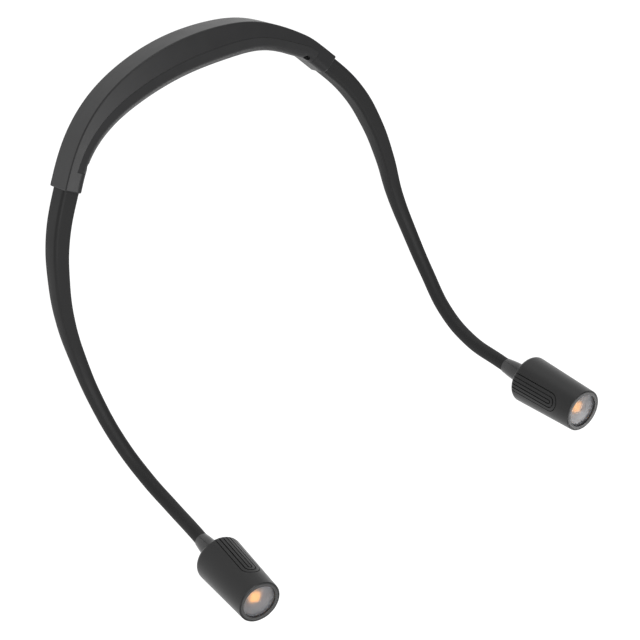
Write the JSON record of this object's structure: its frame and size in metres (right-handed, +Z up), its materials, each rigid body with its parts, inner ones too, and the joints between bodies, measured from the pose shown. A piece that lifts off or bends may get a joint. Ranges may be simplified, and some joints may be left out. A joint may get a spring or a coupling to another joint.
{
  "type": "neck reading light",
  "caption": "Hands-free reading light worn round the neck: a curved rechargeable band, bendable arms and cylindrical lamp heads with long press keys.",
  "frame": {"origin": "on the surface the light lies on, under the middle of its outline", "axes": "+X to the right-hand lamp, +Y from the lamps towards the back of the neck band, +Z up, with the band and the arms lying down and the lamp heads raised"},
  "size_m": [0.1834, 0.1981, 0.1067],
  "materials": {
    "housing": "matte",
    "cover": "matte",
    "head_housing": "matte",
    "trim_ring": "satin",
    "key": "satin",
    "ferrule": "satin",
    "silicone": "matte",
    "gooseneck": "satin",
    "screw": "satin",
    "battery": "satin",
    "board": "satin",
    "component": "satin",
    "connector": "satin",
    "light_guide": "gloss",
    "wire": "satin",
    "lens": "satin",
    "reflector": "gloss",
    "led_board": "satin",
    "lamp": "satin",
    "heat_sink": "satin"
  },
  "bodies": {
    "root": {"outer_shell": "housing", "inner_cover": "cover", "cover_screws": "screw", "battery_cell": "battery", "main_board": "board", "board_parts": "component", "charge_socket": "connector", "charge_light": "light_guide", "band_leads": "wire", "left_anchor": "gooseneck", "left_sheath_root": "silicone", "right_anchor": "gooseneck", "right_sheath_root": "silicone"},
    "left_arm_1": {"left_sheath_1": "silicone", "left_gooseneck_1": "gooseneck", "left_leads_1": "wire"},
    "left_arm_2": {"left_sheath_2": "silicone", "left_gooseneck_2": "gooseneck", "left_leads_2": "wire"},
    "left_arm_3": {"left_sheath_3": "silicone", "left_gooseneck_3": "gooseneck", "left_leads_3": "wire"},
    "left_arm_4": {"left_sheath_4": "silicone", "left_gooseneck_4": "gooseneck", "left_leads_4": "wire", "left_ferrule": "ferrule", "left_head_shell": "head_housing", "left_front_ring": "trim_ring", "left_lens": "lens", "left_reflector": "reflector", "left_led_board": "led_board", "left_led_chip": "lamp", "left_heat_sink": "heat_sink", "left_switch_board": "board", "left_tact_switch": "component"},
    "left_button": {"left_key": "key"},
    "right_arm_1": {"right_sheath_1": "silicone", "right_gooseneck_1": "gooseneck", "right_leads_1": "wire"},
    "right_arm_2": {"right_sheath_2": "silicone", "right_gooseneck_2": "gooseneck", "right_leads_2": "wire"},
    "right_arm_3": {"right_sheath_3": "silicone", "right_gooseneck_3": "gooseneck", "right_leads_3": "wire"},
    "right_arm_4": {"right_sheath_4": "silicone", "right_gooseneck_4": "gooseneck", "right_leads_4": "wire", "right_ferrule": "ferrule", "right_head_shell": "head_housing", "right_front_ring": "trim_ring", "right_lens": "lens", "right_reflector": "reflector", "right_led_board": "led_board", "right_led_chip": "lamp", "right_heat_sink": "heat_sink", "right_switch_board": "board", "right_tact_switch": "component"},
    "right_button": {"right_key": "key"}
  },
  "joints": [
    {"name": "left_bend_1", "type": "hinge", "parent": "root", "child": "left_arm_1", "pos_m": [-0.07236, 0.04659, 0.00662], "axis": [0.0115, 0.0228, -0.9997], "range_deg": [-12, 30]},
    {"name": "left_bend_2", "type": "hinge", "parent": "left_arm_1", "child": "left_arm_2", "pos_m": [-0.08161, 0.00391, 0.004], "axis": [-0.9999, 0.0151, 0], "range_deg": [-35, 40]},
    {"name": "left_bend_3", "type": "hinge", "parent": "left_arm_2", "child": "left_arm_3", "pos_m": [-0.08092, -0.03823, 0.01143], "axis": [0.0248, -0.3729, -0.9275], "range_deg": [-20, 40]},
    {"name": "left_bend_4", "type": "hinge", "parent": "left_arm_3", "child": "left_arm_4", "pos_m": [-0.07759, -0.06992, 0.03766], "axis": [-0.9999, 0.0128, 0], "range_deg": [-45, 45]},
    {"name": "left_key_press", "type": "hinge", "parent": "left_arm_4", "child": "left_button", "pos_m": [-0.0769, -0.0743, 0.0758], "axis": [0.9242, -0.3811, -0.0266], "range_deg": [0, 1.6], "stiffness_Nm_per_rad": 0.4},
    {"name": "right_bend_1", "type": "hinge", "parent": "root", "child": "right_arm_1", "pos_m": [0.07236, 0.04659, 0.00662], "axis": [0.0115, -0.0228, 0.9997], "range_deg": [-12, 30]},
    {"name": "right_bend_2", "type": "hinge", "parent": "right_arm_1", "child": "right_arm_2", "pos_m": [0.08161, 0.00391, 0.004], "axis": [-0.9999, -0.0151, 0], "range_deg": [-35, 40]},
    {"name": "right_bend_3", "type": "hinge", "parent": "right_arm_2", "child": "right_arm_3", "pos_m": [0.08092, -0.03823, 0.01143], "axis": [0.0248, 0.3729, 0.9275], "range_deg": [-20, 40]},
    {"name": "right_bend_4", "type": "hinge", "parent": "right_arm_3", "child": "right_arm_4", "pos_m": [0.07759, -0.06992, 0.03766], "axis": [-0.9999, -0.0128, 0], "range_deg": [-45, 45]},
    {"name": "right_key_press", "type": "hinge", "parent": "right_arm_4", "child": "right_button", "pos_m": [0.07237, -0.07856, 0.07502], "axis": [0.4212, 0.8832, 0.2062], "range_deg": [0, 1.6], "stiffness_Nm_per_rad": 0.4}
  ]
}
